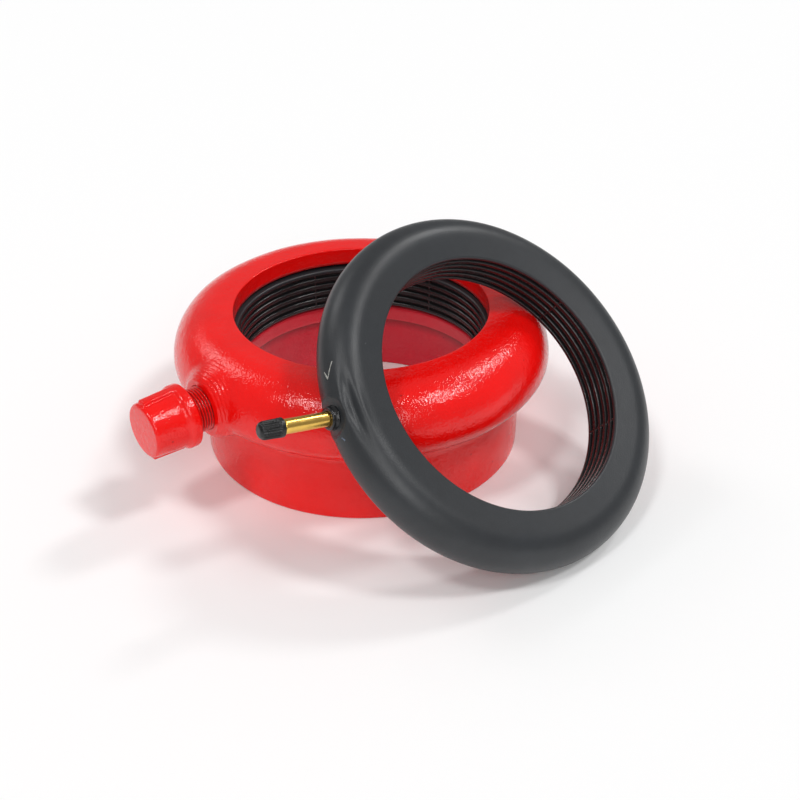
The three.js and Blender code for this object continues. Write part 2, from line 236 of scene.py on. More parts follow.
def housing_rows():
    """The casting's outline of radius and height, from the foot up the outside and down the bores. The two
    marks beside each point say how rough the cast skin is there and whether the boss may lift it."""
    neck_reach = skirt_radius + 6
    neck_angle = math.degrees(math.acos((neck_reach - shoulder_centre) / shoulder_radius))
    neck = (neck_reach, housing_height - underside_height * math.sin(math.radians(neck_angle)))
    corner = (skirt_radius, neck[1] - 6 * underside_height / (
        shoulder_radius * math.tan(math.radians(neck_angle))))
    middle = (shoulder_centre, housing_height)
    lip_top, lip_foot = housing_height + chamber_radius, housing_height - chamber_radius
    pieces = [
        (stroke((skirt_bore + 1, 0), (skirt_radius - 1.2, 0), 7), 0.4, 0),
        (bend((skirt_radius - 1.2, 1.2), 1.2, 1.2, -90, 0, 4), 0.5, 0),
        (stroke((skirt_radius, 1.2), (skirt_radius, corner[1] - 7.5), 15), 0.7, 1),
        (hook((skirt_radius, corner[1] - 7.5), corner, neck, 13), 0.9, 1),
        (bend(middle, shoulder_radius, underside_height, -neck_angle, 0, 27), 1, 1),
        (bend(middle, shoulder_radius, shoulder_radius, 0, 90, 56), 1, 1),
        (stroke((shoulder_centre, top_height), (lip_radius + lip_edge, top_height), 9), 0.8, 1),
        (bend((lip_radius + lip_edge, top_height - lip_edge), lip_edge, lip_edge, 90, 180, 4), 0.1, 0),
        (stroke((lip_radius, top_height - lip_edge), (lip_radius, lip_top + 0.4), 5), 0, 0),
        (stroke((lip_radius, lip_top + 0.4), (lip_radius + 0.4, lip_top), 1), 0, 0),
        (bend((chamber_centre, housing_height), chamber_radius, chamber_radius, chamber_edge_turn,
              -chamber_edge_turn, 28), 0, 0),
        (stroke((lip_radius + 0.4, lip_foot), (lip_radius, lip_foot - 0.4), 1), 0, 0),
        (stroke((lip_radius, lip_foot - 0.4), (lip_radius, skirt_top + 0.5), 5), 0, 0),
        (hook((lip_radius, skirt_top + 0.5), (lip_radius, skirt_top),
              (lip_radius + 0.5, skirt_top), 3), 0, 0),
        (hook((lip_radius + 0.5, skirt_top), (skirt_bore, skirt_top), (skirt_bore, skirt_top - 1), 4), 0, 0),
        (stroke((skirt_bore, skirt_top - 1), (skirt_bore, 1), 13), 0.5, 0),
        (bend((skirt_bore + 1, 1), 1, 1, 180, 270, 3), 0.3, 0),
    ]
    rough = np.concatenate([np.full(len(rows), mark) for rows, mark, _ in pieces])
    lifts = np.concatenate([np.full(len(rows), mark) for rows, _, mark in pieces])
    return np.concatenate([rows for rows, _, _ in pieces]), rough, lifts


def blended(first, second, width):
    """The lesser of two distances, with a fillet of about that width where they meet."""
    near = np.clip(1 - np.abs(first - second) / width, 0, 1)
    return np.minimum(first, second) - near**2 * width / 4


def shell_gap(radius, height):
    """Distance from the shoulder and the skirt, in a plane through the pipe's axis."""
    below = np.where(height < housing_height, shoulder_radius / underside_height, 1)
    bulge = np.hypot(radius - shoulder_centre, (height - housing_height) * below) - shoulder_radius
    return blended(bulge * np.where(below > 1, 0.8, 1), radius - skirt_radius, 9)


def boss_gap(places):
    """Distance from the boss: a short cylinder towards -X whose side flares, rippled like a flowed bead."""
    across = np.hypot(places[..., 1], places[..., 2] - housing_height)
    turn = np.arctan2(places[..., 1], places[..., 2] - housing_height)
    drop = boss_face + places[..., 0]
    side = across - boss_radius - boss_flare * (1 - np.exp(-np.clip(drop, 0, 20) / boss_flare_depth))
    edge = np.minimum(np.maximum(side, -drop), 0)
    gap = edge + np.hypot(np.maximum(side, 0), np.maximum(-drop, 0))
    path = across + drop + 0.5 * np.sin(3 * turn + 1) + 0.4 * np.sin(5 * turn)
    window = np.exp(-(((across - bead_radius) / bead_width) ** 2))
    ripple = np.sin(2 * math.pi * path / bead_pitch) * (0.75 + 0.35 * np.sin(2 * turn + 2))
    return gap - bead_height * window * ripple


def boss_lift(places):
    """How far each point moves away from the shoulder's centre line so that it lies on the boss."""
    radius = np.hypot(places[..., 0], places[..., 1])
    outwards = np.stack([places[..., 0] / radius, places[..., 1] / radius, np.zeros_like(radius)], -1)
    centre = outwards * sight_radius
    centre[..., 2] = housing_height
    away = places - centre
    away /= np.linalg.norm(away, axis=-1, keepdims=True)
    ends = []
    for with_boss in (False, True):
        reach = np.full(radius.shape, sight_start)
        for _ in range(sight_steps):
            spot = centre + away * reach[..., None]
            gap = shell_gap(np.hypot(spot[..., 0], spot[..., 1]), spot[..., 2])
            if with_boss:
                gap = blended(boss_gap(spot), gap, boss_blend)
            reach = reach - gap * sight_share
        ends.append(reach)
    return away * (ends[1] - ends[0])[..., None]


def maths(tree, operation, *values):
    """The result of one sum on one, two or three values or outputs."""
    return node(tree, "Math", dict(enumerate(values)), operation=operation).outputs[0]


def noise(tree, place, scale, detail=2, roughness=0.5):
    """Soft random clouds over a piece."""
    inputs = {"Vector": place, "Scale": scale, "Detail": detail, "Roughness": roughness}
    return node(tree, "TexNoise", inputs).outputs[0]


def between(tree, share, first, second):
    """A colour that goes from the first to the second as share goes from 0 to 1."""
    return node(tree, "Mix", {0: share, 6: first, 7: second}, data_type="RGBA").outputs[2]


def dimmed(tree, colour, shade):
    """A colour times a shade."""
    return node(tree, "VectorMath", {0: colour, "Scale": shade}, operation="SCALE").outputs[0]


def marked(tree, mark):
    """The value that the mesh carries at each point under that name."""
    return node(tree, "Attribute", attribute_name=mark).outputs["Fac"]


def new_material(name):
    """A material, its nodes, its surface shader, and the place on the piece in its own coordinates."""
    made = bpy.data.materials.new(name)
    made.use_nodes = True
    tree = made.node_tree
    return made, tree, tree.nodes["Principled BSDF"], node(tree, "TexCoord").outputs["Object"]


def red_paint(name, bores=False, grooves=False):
    """Glossy red over a cast skin: wide bumps, a fine orange peel and a few pits. In the bores it is painted
    darker and pinker as shade and reflection, the lower lip is painted lighter as light on it with a painted
    shadow under it, and painted shade darkens the grooves of a thread."""
    made, tree, shader, place = new_material(name)
    cloud = noise(tree, place, 45, 3)
    peel = noise(tree, place, 760)
    grain = noise(tree, place, 300)
    spots = node(tree, "TexVoronoi", {"Vector": place, "Scale": 150, "Randomness": 1}).outputs["Distance"]
    rare = noise(tree, place, 60)
    pits = maths(tree, "MULTIPLY", maths(tree, "LESS_THAN", spots, 0.10),
                 maths(tree, "GREATER_THAN", rare, 0.62))
    shade = stretched(tree, cloud, 0.3, 0.7, 0.94, 1.04)
    shade = maths(tree, "MULTIPLY_ADD", pits, -0.35, shade)
    colour = red
    if grooves:
        # Painted shade in the thread's grooves, darker where they are deeper.
        shade = maths(tree, "MULTIPLY_ADD", marked(tree, "groove"), -groove_painted_shade, shade)
    if bores:
        # The colour here is painted light: darker, pinker shade and reflection in the bores, lighter on the
        # lower lip, and a painted shadow just under the lip.
        apart = node(tree, "SeparateXYZ", {0: place}).outputs
        radius = maths(tree, "SQRT", maths(tree, "ADD", maths(tree, "MULTIPLY", apart[0], apart[0]),
                                           maths(tree, "MULTIPLY", apart[1], apart[1])))
        inside = maths(tree, "MULTIPLY", maths(tree, "LESS_THAN", radius, bore_shade_radius),
                       maths(tree, "LESS_THAN", apart[2], bore_shade_top))
        on_lip = maths(tree, "GREATER_THAN", apart[2], lip_light_foot)
        bore = between(tree, on_lip, (*red_bore_painted_shade, 1), (*red_lip_painted_light, 1))
        colour = between(tree, inside, (*red, 1), bore)
        # Painted shadow under the lower lip, darkest at its top.
        lip_shadow = stretched(tree, apart[2], lip_shade_foot, lip_shade_top, 0, lip_shade_depth)
        lip_shadow = maths(tree, "MULTIPLY", lip_shadow, maths(tree, "SUBTRACT", inside, on_lip))
        shade = maths(tree, "SUBTRACT", shade, maths(tree, "MAXIMUM", lip_shadow, 0))
    tinted = dimmed(tree, colour, shade)
    tree.links.new(tinted, shader.inputs["Base Color"])
    gloss = stretched(tree, grain, 0.3, 0.7, 0.08, 0.18)
    tree.links.new(gloss, shader.inputs["Roughness"])
    lumps = noise(tree, place, 95)
    height = maths(tree, "MULTIPLY_ADD", grain, 0.8, maths(tree, "MULTIPLY", peel, 0.72))
    height = maths(tree, "MULTIPLY_ADD", lumps, 0.8, height)
    height = maths(tree, "MULTIPLY_ADD", pits, -1.5, height)
    bump = node(tree, "Bump", {"Height": height, "Strength": 0.8, "Distance": 0.0004}).outputs[0]
    tree.links.new(bump, shader.inputs["Normal"])
    return made


outline, outline_rough, outline_lifts = housing_rows()
columns = np.radians(np.concatenate([
    np.linspace(-164, 164, 304), 180 + np.linspace(-15.5, 15.5, 128)]))
casting = np.stack([
    outline[:, :1] * np.cos(columns), outline[:, :1] * np.sin(columns),
    np.repeat(outline[:, 1:], len(columns), 1)], -1)
near_outlet = np.hypot(casting[..., 1], casting[..., 2] - housing_height) < boss_patch
near_outlet &= casting[..., 0] < 0
near_outlet &= (outline_lifts[:, None] > 0)
casting[near_outlet] += boss_lift(casting[near_outlet])
outwards = np.stack([casting[..., 0], casting[..., 1], casting[..., 2] * 0], -1)
outwards -= outwards / np.linalg.norm(outwards, axis=-1, keepdims=True) * swell_centre
outwards[..., 2] = casting[..., 2] - housing_height
outwards /= np.linalg.norm(outwards, axis=-1, keepdims=True)
swell = waves(3, *(casting[..., i] / swell_length for i in range(3)))
casting += outwards * (swell_height * swell * outline_rough[:, None])[..., None]
housing_paint = red_paint("red_paint_casting", bores=True)
housing = skin("housing_look", [(casting, True)], housing_paint, None)

drill_rows = np.array([
    (0, drill_start), (outlet_hole, drill_start), (outlet_hole, drill_end), (0, drill_end)])
drill_turn = np.linspace(0, 2 * math.pi, drill_columns, endpoint=False)
drill_grid = np.stack([
    -np.repeat(drill_rows[:, 1:], drill_columns, 1), drill_rows[:, :1] * np.cos(drill_turn),
    housing_height + drill_rows[:, :1] * np.sin(drill_turn)], -1)
drill = skin("drill", [(drill_grid, False)], housing_paint, None)
cut = housing.modifiers.new("outlet", "BOOLEAN")
cut.operation, cut.object, cut.solver = "DIFFERENCE", drill, "MANIFOLD"
drilled = bpy.data.meshes.new_from_object(housing.evaluated_get(bpy.context.evaluated_depsgraph_get()))
housing.modifiers.clear()
housing.data = drilled
bpy.data.objects.remove(drill)
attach(housing, "base")
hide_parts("housing")

# Outlet nipple
# A short iron pipe with a thread its whole length, screwed into the boss and painted over.

nipple_start, nipple_end = -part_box("outlet_nipple")[1].x / mm, -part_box("outlet_nipple")[0].x / mm
nipple_bore = 10.4
outlet_thread_radius, outlet_thread_pitch, outlet_thread_depth = 13.6, 1.81, 1.1


def turned_out(rows, turns, threads=None, height=housing_height):
    """A grid turned about the outlet's axis, from rows of radius and distance from the pipe's axis. threads
    gives (first row, last row, pitch, depth): there the surface dips by the depth in a right-hand spiral."""
    radius = np.repeat(rows[:, :1], len(turns), 1)
    along = np.repeat(rows[:, 1:], len(turns), 1)
    if threads:
        first, last, pitch, depth = threads
        turn = (along[first:last] / pitch - turns / (2 * math.pi)) * 2 * math.pi
        from_ends = np.minimum(along[first:last] - along[first, 0], along[last - 1, 0] - along[first:last])
        fade = np.clip(from_ends, 0, 1)
        radius[first:last] -= depth * (0.5 - 0.5 * np.cos(turn)) * fade
    return np.stack([-along, -radius * np.cos(turns), height + radius * np.sin(turns)], -1)


nipple_steps = 220
nipple_rows = np.concatenate([
    stroke((outlet_thread_radius, nipple_start), (outlet_thread_radius, nipple_end), nipple_steps),
    stroke((outlet_thread_radius - 0.9, nipple_end), (nipple_bore, nipple_end), 3),
    stroke((nipple_bore, nipple_end), (nipple_bore, nipple_start), 16),
    stroke((nipple_bore, nipple_start), (outlet_thread_radius - 0.9, nipple_start), 3),
])
nipple_turns = np.linspace(0, 2 * math.pi, 144, endpoint=False)
nipple_grid = turned_out(
    nipple_rows, nipple_turns, (0, nipple_steps, outlet_thread_pitch, outlet_thread_depth))
nipple_across = np.hypot(nipple_grid[..., 1], nipple_grid[..., 2] - housing_height)
nipple_groove = np.clip((outlet_thread_radius - nipple_across) / outlet_thread_depth, 0, 1)
nipple_groove[nipple_steps:] = 0
nipple_paint = red_paint("red_paint_nipple", grooves=True)
nipple = skin("outlet_nipple_look", [(nipple_grid, True)], nipple_paint, "base", "outlet_nipple",
              marks={"groove": nipple_groove})

# Outlet cap
# A cast pipe cap with a collar at its mouth, a tapered body and two ribs for a wrench, painted red with
# the casting. It screws off the nipple.

cap_mouth, cap_end = -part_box("outlet_cap")[1].x / mm, -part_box("outlet_cap")[0].x / mm
cap_collar_radius, cap_body_radius, cap_taper = 19.5, 17.7, 1.1
cap_rib_turn, cap_rib_half, cap_rib_height = 97.0, 3.2, 1.9
cap_bore, cap_thread_length, cap_end_wall = 13.9, 16.5, 4.6
cap_bore_end, cap_inner_face = cap_mouth + cap_thread_length, cap_end - cap_end_wall

cap_edge_round, cap_face_steps = 2.2, 16
cap_swell, cap_face_swell, cap_swell_length = 0.09, 0.10, 5
cap_rib_blur, cap_rib_stop, cap_rib_fall = 0.12, 1.2, 1.6

cap_body_end = cap_body_radius - cap_taper
cap_face = stroke((0, cap_end), (cap_body_end - cap_edge_round, cap_end), cap_face_steps)
cap_body = np.concatenate([
    bend((cap_body_end - cap_edge_round, cap_end - cap_edge_round),
         cap_edge_round, cap_edge_round, 90, 0, 10),
    stroke((cap_body_end, cap_end - cap_edge_round), (cap_body_radius - 0.25, cap_mouth + 8.4), 44),
    hook((cap_body_radius - 0.25, cap_mouth + 8.4), (cap_body_radius, cap_mouth + 7.2),
         (18.4, cap_mouth + 6.4), 6),
    hook((18.4, cap_mouth + 6.4), (cap_collar_radius, cap_mouth + 5.4),
         (cap_collar_radius, cap_mouth + 4), 7),
])
cap_collar = stroke((cap_collar_radius, cap_mouth + 4), (cap_collar_radius, cap_mouth + 0.8), 5)
cap_rows = np.concatenate([
    cap_face, cap_body, cap_collar,
    bend((cap_collar_radius - 0.8, cap_mouth + 0.8), 0.8, 0.8, 0, -90, 5),
    stroke((cap_collar_radius - 0.8, cap_mouth), (cap_bore + 0.7, cap_mouth), 5),
    stroke((cap_bore + 0.7, cap_mouth), (cap_bore, cap_mouth + 0.7), 2),
    stroke((cap_bore, cap_mouth + 0.7), (cap_bore, cap_bore_end), 60),
    stroke((cap_bore, cap_bore_end), (cap_bore - 1.2, cap_bore_end), 3),
    stroke((cap_bore - 1.2, cap_bore_end), (cap_bore - 1.2, cap_inner_face), 8),
    stroke((cap_bore - 1.2, cap_inner_face), (0, cap_inner_face), 9),
    [(0, cap_inner_face)],
])
cap_row = np.arange(len(cap_rows))[:, None]
on_ribs = cap_row < len(cap_face) + len(cap_body)
on_outside = cap_row < len(cap_face) + len(cap_body) + len(cap_collar)
on_face = cap_row < len(cap_face) + 2
cap_turns = np.linspace(0, 2 * math.pi, 320, endpoint=False)
cap_radius = np.repeat(cap_rows[:, :1], len(cap_turns), 1)
cap_along = np.repeat(cap_rows[:, 1:], len(cap_turns), 1)
rib_lift = np.zeros_like(cap_radius)
for rib_turn in (cap_rib_turn, cap_rib_turn + 180):
    apart = np.abs(cap_radius * np.sin(cap_turns - math.radians(rib_turn)))
    facing = np.cos(cap_turns - math.radians(rib_turn)) > 0
    side = 1 / (1 + np.exp((apart - cap_rib_half) / cap_rib_blur))
    end = np.clip((cap_end - cap_rib_stop - cap_along) / cap_rib_fall, 0, 1)
    rib_lift += facing * side * end * (3 - 2 * end) * end
rib_top = cap_body_radius + cap_rib_height - cap_taper * (cap_along - cap_mouth) / (cap_end - cap_mouth)
lifted = cap_radius + rib_lift * np.clip(rib_top - cap_radius, 0, None) * on_ribs
lifted = np.where(cap_radius > cap_bore + 0.1, lifted, cap_radius)
cap_swells = waves(11, cap_along / cap_swell_length, cap_turns * 4 + 0 * cap_along)
lifted += cap_swell * cap_swells * on_outside * (cap_radius > 5)
face_swells = waves(5, cap_radius * np.cos(cap_turns) / cap_swell_length,
                    cap_radius * np.sin(cap_turns) / cap_swell_length)
cap_grid = np.stack([
    -cap_along - cap_face_swell * face_swells * on_face,
    -lifted * np.cos(cap_turns), housing_height + lifted * np.sin(cap_turns)], -1)
cap_paint = red_paint("red_paint_cap")
outlet_cap = skin("outlet_cap_look", [(cap_grid, False)], cap_paint, "outlet_cap", "outlet_cap")

# Seal rings
# Two hollow rings of moulded black rubber: a band of five rounded grooves towards the pipe, crossed by
# short webs, flat sides and a round back. One sits in the housing's chamber and one leans against it.

ring_inner_radius, ring_back_centre, ring_half = 78.2, 93.9, 16.0
ring_side_reach, ring_side_half = 79.8, 14.2
ring_back_angle = 97.9
groove_count, groove_pitch, groove_depth = 5, 5.1, 2.4
groove_top_half, groove_floor_half = 1.5, 0.75
web_spacing, web_sink, band_edge = 60, 0.35, 1.6
collar_radius, collar_height = 6.4, 1.9
dimple_radius, dimple_depth, rim_height, rim_width = 11.5, 0.9, 0.4, 1.2
valve_reach = 109.9
lean_direction, lean_slope = math.radians(-85.4), math.radians(48.9)
spare_valve_turn = math.radians(165.1)
web_turns = {"fitted": 15.5, "spare": 33.2}
# Pucker lines pressed into the spare ring beside its valve: place round the ring and place round the
# back in degrees, half length round the ring, half width round the back, depth in mm.
spare_dents = [(0.0, 57.5, 10.0, 8.0, 2.3), (-1.0, 40.0, 9.0, 7.5, -0.8), (1.0, 75.0, 8.0, 7.0, -0.8)]


def placed(points, frame_axes, centre):
    """Points given along a ring's own axes, moved to where that ring is."""
    return points @ frame_axes + centre


def spare_place():
    """The spare ring's axes, with its valve along the first, and its centre, read off the CAD ring's box."""
    low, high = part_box("spare_seal_ring")
    sideways = np.array([-math.sin(lean_direction), math.cos(lean_direction), 0])
    normal = np.array([math.cos(lean_slope) * math.cos(lean_direction),
                       math.cos(lean_slope) * math.sin(lean_direction), math.sin(lean_slope)])
    uphill = np.cross(normal, sideways)
    along = math.cos(spare_valve_turn) * sideways + math.sin(spare_valve_turn) * uphill
    across = np.cross(normal, along)
    distance = (low.y + high.y) / 2 / math.sin(lean_direction) / mm
    centre = np.array([distance * math.cos(lean_direction), distance * math.sin(lean_direction),
                       (low.z + high.z) / 2 / mm])
    return np.array([along, across, normal]), centre


ring_places = {
    "fitted": (np.array([[-1.0, 0, 0], [0, -1.0, 0], [0, 0, 1.0]]), np.array([0, 0, housing_height])),
    "spare": spare_place(),
}


def band_rows():
    """The grooved band from its lower edge to its upper one: radius, place along the axis, and depth below
    the lands, each groove an even dip with rounded lips."""
    reach = ring_side_half - band_edge
    place = np.linspace(-reach, reach, 88, endpoint=False)
    depth = np.zeros_like(place)
    for i in range(groove_count):
        apart = np.abs(place - groove_pitch * (i - (groove_count - 1) / 2))
        share = np.clip((apart - groove_floor_half) / (groove_top_half - groove_floor_half), 0, 1)
        depth += groove_depth * (1 - share * share * (3 - 2 * share))
    return np.column_stack([np.full_like(place, ring_inner_radius), place]), depth


def ring_section():
    """The ring's section as rows of radius and place along the axis, and how deep the groove is at each."""
    band, dip = band_rows()
    side_top = (ring_back_centre + ring_half * math.cos(math.radians(ring_back_angle)),
                ring_half * math.sin(math.radians(ring_back_angle)))
    rows = np.concatenate([
        band,
        hook((ring_inner_radius, ring_side_half - band_edge), (ring_inner_radius, ring_side_half),
             (ring_side_reach, ring_side_half), 6),
        stroke((ring_side_reach, ring_side_half), side_top, 7),
        bend((ring_back_centre, 0), ring_half, ring_half, ring_back_angle, -ring_back_angle, 46),
        stroke((side_top[0], -side_top[1]), (ring_side_reach, -ring_side_half), 7),
        hook((ring_side_reach, -ring_side_half), (ring_inner_radius, -ring_side_half),
             (ring_inner_radius, band_edge - ring_side_half), 6),
    ])
    depth = np.zeros(len(rows))
    depth[:len(dip)] = dip
    return rows, depth


def ring_columns(which):
    """Places round the ring in degrees, close together at each web and round the valve."""
    web = np.array([-0.95, -0.7, -0.55, -0.4, 0.4, 0.55, 0.7, 0.95])
    turns = np.concatenate([
        np.concatenate([web, np.linspace(1.5, 58.5, 76)]) + web_spacing * i + web_turns[which]
        for i in range(6)])
    turns = (turns + 180) % 360 - 180
    return np.sort(np.concatenate([turns[np.abs(turns) > 7.6], np.linspace(-7.5, 7.5, 40)]))


def back_relief(which, turns, section, swell):
    """How far the ring's round back stands out: a dimple round the collar inside a low rim, a soft swell, and
    on the spare ring its pucker lines."""
    reach = np.hypot(valve_reach * np.radians(turns)[None, :], ring_half * np.radians(section)[:, None])
    dimple = np.clip(1 - ((reach - collar_radius) / (dimple_radius - collar_radius)), 0, 1) ** 0.7
    push = -dimple_depth * dimple + rim_height * np.exp(-(((reach - dimple_radius) / rim_width) ** 2))
    push = push * (np.abs(section)[:, None] < 60) + swell
    for at_turn, at_section, half_turn, half_section, deep in (spare_dents if which == "spare" else []):
        round_way = ((turns[None, :] - at_turn) / half_turn) ** 2
        over_back = ((section[:, None] - at_section) / half_section) ** 2
        push = push - deep * np.exp(-(round_way + over_back) * 1.2)
    return push


def ring_grid(which):
    """The ring's surface as rows round its section and columns round its axis, in its own axes."""
    rows, depth = ring_section()
    turns = ring_columns(which)
    turn = np.radians(turns)
    from_web = np.abs((turns - web_turns[which] + web_spacing / 2) % web_spacing - web_spacing / 2)
    webbed = np.clip((0.75 - from_web) / 0.3, 0, 1)
    radius = rows[:, :1] + depth[:, None] * (1 - webbed) + np.minimum(depth[:, None], web_sink) * webbed
    along = np.repeat(rows[:, 1:], len(turns), 1)
    away_r, away_w = rows[:, 0] - ring_back_centre, rows[:, 1]
    section = np.degrees(np.arctan2(away_w, away_r))
    on_back = np.clip((ring_back_angle + 6 - np.abs(section)) / 12, 0, 1) * (rows[:, 0] > ring_side_reach + 1)
    swell = 0.10 * waves(17 + len(which), radius / 14 * np.cos(turn), radius / 14 * np.sin(turn), along / 9)
    push = back_relief(which, turns, section, swell) * on_back[:, None]
    normal = np.column_stack([away_r, away_w]) / np.hypot(away_r, away_w)[:, None]
    radius = radius + push * normal[:, :1]
    along = along + push * normal[:, 1:]
    return np.stack([radius * np.cos(turn), radius * np.sin(turn), along], -1)


def collar_grid():
    """The rubber collar moulded on the ring round the valve's stem, along the ring's first axis."""
    top = valve_reach + collar_height
    rows = np.concatenate([
        stroke((0, valve_reach - 2), (collar_radius + 0.9, valve_reach - 2), 3),
        hook((collar_radius + 0.9, valve_reach - 2), (collar_radius + 0.1, valve_reach - 0.4),
             (collar_radius, valve_reach + 0.2), 6),
        stroke((collar_radius, valve_reach + 0.2), (collar_radius, top - 0.7), 3),
        bend((collar_radius - 0.7, top - 0.7), 0.7, 0.7, 0, 90, 5),
        stroke((collar_radius - 0.7, top), (4.9, top), 3),
        hook((4.9, top), (4.3, top), (4.2, top - 0.5), 4),
        stroke((4.2, top - 0.5), (0, top - 0.5), 3),
        [(0, top - 0.5)],
    ])
    turns = np.linspace(0, 2 * math.pi, 64, endpoint=False)
    along = np.repeat(rows[:, 1:], len(turns), 1)
    return np.stack([along, rows[:, :1] * np.cos(turns), rows[:, :1] * np.sin(turns)], -1)


def rubber(name):
    """Moulded black rubber: a grey bloom in soft clouds, a fine matte grain and a little dust, a blacker,
    glossier skin on the collar, and painted shade with more gloss on the grooved band."""
    made, tree, shader, place = new_material(name)
    cloud = noise(tree, place, 22, 4, 0.6)
    blotch = noise(tree, place, 160, 3)
    grain = noise(tree, place, 1500)
    specks = node(tree, "TexVoronoi", {"Vector": place, "Scale": 110}).outputs["Distance"]
    rare = noise(tree, place, 75)
    dust = maths(tree, "MULTIPLY", maths(tree, "LESS_THAN", specks, 0.035),
                 maths(tree, "GREATER_THAN", rare, 0.6))
    shade = stretched(tree, cloud, 0.3, 0.7, 0.85, 1.2)
    shade = maths(tree, "MULTIPLY_ADD", maths(tree, "SUBTRACT", blotch, 0.5), 0.25, shade)
    colour = dimmed(tree, (0.023, 0.0255, 0.029), shade)
    mixed = between(tree, maths(tree, "MULTIPLY", dust, 0.35), colour, (0.3, 0.3, 0.31, 1))
    collar = marked(tree, "collar")
    band = marked(tree, "band")
    # Painted shade: the grooved band is painted near black.
    mixed = between(tree, band, mixed, (0.013, 0.013, 0.014, 1))
    mixed = between(tree, collar, mixed, (0.009, 0.009, 0.010, 1))
    tree.links.new(mixed, shader.inputs["Base Color"])
    gloss = stretched(tree, cloud, 0.3, 0.7, 0.44, 0.33)
    gloss = maths(tree, "MULTIPLY_ADD", maths(tree, "MAXIMUM", collar, band), -0.16, gloss)
    tree.links.new(gloss, shader.inputs["Roughness"])
    height = maths(tree, "MULTIPLY_ADD", blotch, 0.8, grain)
    bump = node(tree, "Bump", {"Height": height, "Strength": 0.45, "Distance": 0.0002}).outputs[0]
    tree.links.new(bump, shader.inputs["Normal"])
    return made


rings = {}
for which in ("fitted", "spare"):
    axes, centre = ring_places[which]
    body, sleeve = placed(ring_grid(which), axes, centre), placed(collar_grid(), axes, centre)
    on_collar = np.concatenate([np.zeros(body[..., 0].size), np.ones(sleeve[..., 0].size)])
    # Where the grooved band gets painted shade and more gloss.
    band_shade_mask = np.zeros(on_collar.size)
    band_shade_mask[:len(band_rows()[0]) * body.shape[1]] = 1
    ring = skin(f"{which}_ring_look", [(body, True), (sleeve, False)], rubber(f"{which}_ring_rubber"), "base",
                f"{which}_seal_ring", marks={"collar": on_collar, "band": band_shade_mask})
    rings[which] = ring

# Chalk tick
# Somebody marked the spare ring with chalk beside its valve: two dry strokes that lie on the rubber.

tick_points = [(-13.0, 15.0), (-10.6, 21.0), (-15.4, 36.0)]
tick_half_width, tick_lift = 0.35, 0.06
scuff_points = [(5.6, 1.0), (6.0, 8.0), (7.8, 16.0)]
scuff_half_width = 0.42
chalk_colour, scuff_colour = (0.55, 0.54, 0.50), (0.18, 0.23, 0.33)


def on_back(turn, section, lift):
    """Points on the spare ring's round back, from places round the ring and round its back in degrees."""
    turn, section = np.radians(turn), np.radians(section)
    radius = ring_back_centre + (ring_half + lift) * np.cos(section)
    own = np.stack([radius * np.cos(turn), radius * np.sin(turn), (ring_half + lift) * np.sin(section)], -1)
    return placed(own, *ring_places["spare"])


def strip_grid(corners, half_width):
    """Two strokes as one thin strip, a little uneven across, bent to the rubber."""
    corners = np.array(corners)
    middle = np.concatenate([
        stroke(corners[0], corners[1], 14), stroke(corners[1], corners[2], 30), corners[2:]])
    ahead = np.gradient(middle, axis=0) * [valve_reach / ring_half, 1]
    across = np.column_stack([-ahead[:, 1], ahead[:, 0]]) / np.hypot(ahead[:, 0], ahead[:, 1])[:, None]
    width = half_width * (1 + 0.3 * np.sin(np.arange(len(middle)) * 1.9))
    half_turn = np.degrees(across[:, 0] * width / valve_reach)
    half_section = np.degrees(across[:, 1] * width / ring_half)
    edges = [on_back(middle[:, 0] + side * half_turn, middle[:, 1] + side * half_section, lift)
             for side, lift in ((-1, -0.3), (-1, tick_lift), (1, tick_lift), (1, -0.3))]
    return np.stack(edges, 1)


def dry_mark(name, colour):
    """A dry mark that breaks up over the grain of the rubber."""
    made, tree, shader, place = new_material(name)
    grain = noise(tree, place, 2600)
    share = stretched(tree, grain, 0.40, 0.58, 0, 1)
    shown = between(tree, share, (0.05, 0.052, 0.055, 1), (*colour, 1))
    tree.links.new(shown, shader.inputs["Base Color"])
    shader.inputs["Roughness"].default_value = 0.95
    return made


for mark, mark_points, mark_half_width, mark_material in (
    ("chalk_tick", tick_points, tick_half_width, dry_mark("chalk", chalk_colour)),
    ("scuff", scuff_points, scuff_half_width, dry_mark("scuff", scuff_colour)),
):
    skin(mark, [(strip_grid(mark_points, mark_half_width), False)], mark_material, "base")

# Valve stems
# Turned brass tubes with a foot inside the ring and a short thread under the dust cap. The core sits in
# the wider bore at the mouth.

stem_radius, stem_thread_radius, stem_thread_pitch, stem_thread_depth = 4.15, 3.85, 0.79, 0.42
stem_foot_start, stem_foot_end, stem_foot_radius = 101.3, 103.3, 5.5
stem_shoulder, stem_mouth = 138.7, 148.3
stem_airway, stem_core_radius, stem_core_start = 1.1, 2.4, 127.3
brass_colour = (0.90, 0.57, 0.13)


def turned_brass(name, along_stem=False):
    """Plain yellow brass with fine tool lines round it and a faint darker film."""
    made, tree, shader, place = new_material(name)
    cloud = noise(tree, place, 240, 3)
    shade = stretched(tree, cloud, 0.3, 0.75, 1.02, 0.84)
    colour = dimmed(tree, brass_colour, shade)
    tree.links.new(colour, shader.inputs["Base Color"])
    shader.inputs["Metallic"].default_value = 1
    gloss = stretched(tree, cloud, 0.3, 0.7, 0.16, 0.28)
    tree.links.new(gloss, shader.inputs["Roughness"])
    lines = place
    if along_stem:
        along = marked(tree, "along")
        lines = node(tree, "CombineXYZ", {0: along}).outputs[0]
    tool = noise(tree, lines, 2.4 if along_stem else 3000)
    bump = node(tree, "Bump", {"Height": tool, "Strength": 0.1, "Distance": 0.0001}).outputs[0]
    tree.links.new(bump, shader.inputs["Normal"])
    return made


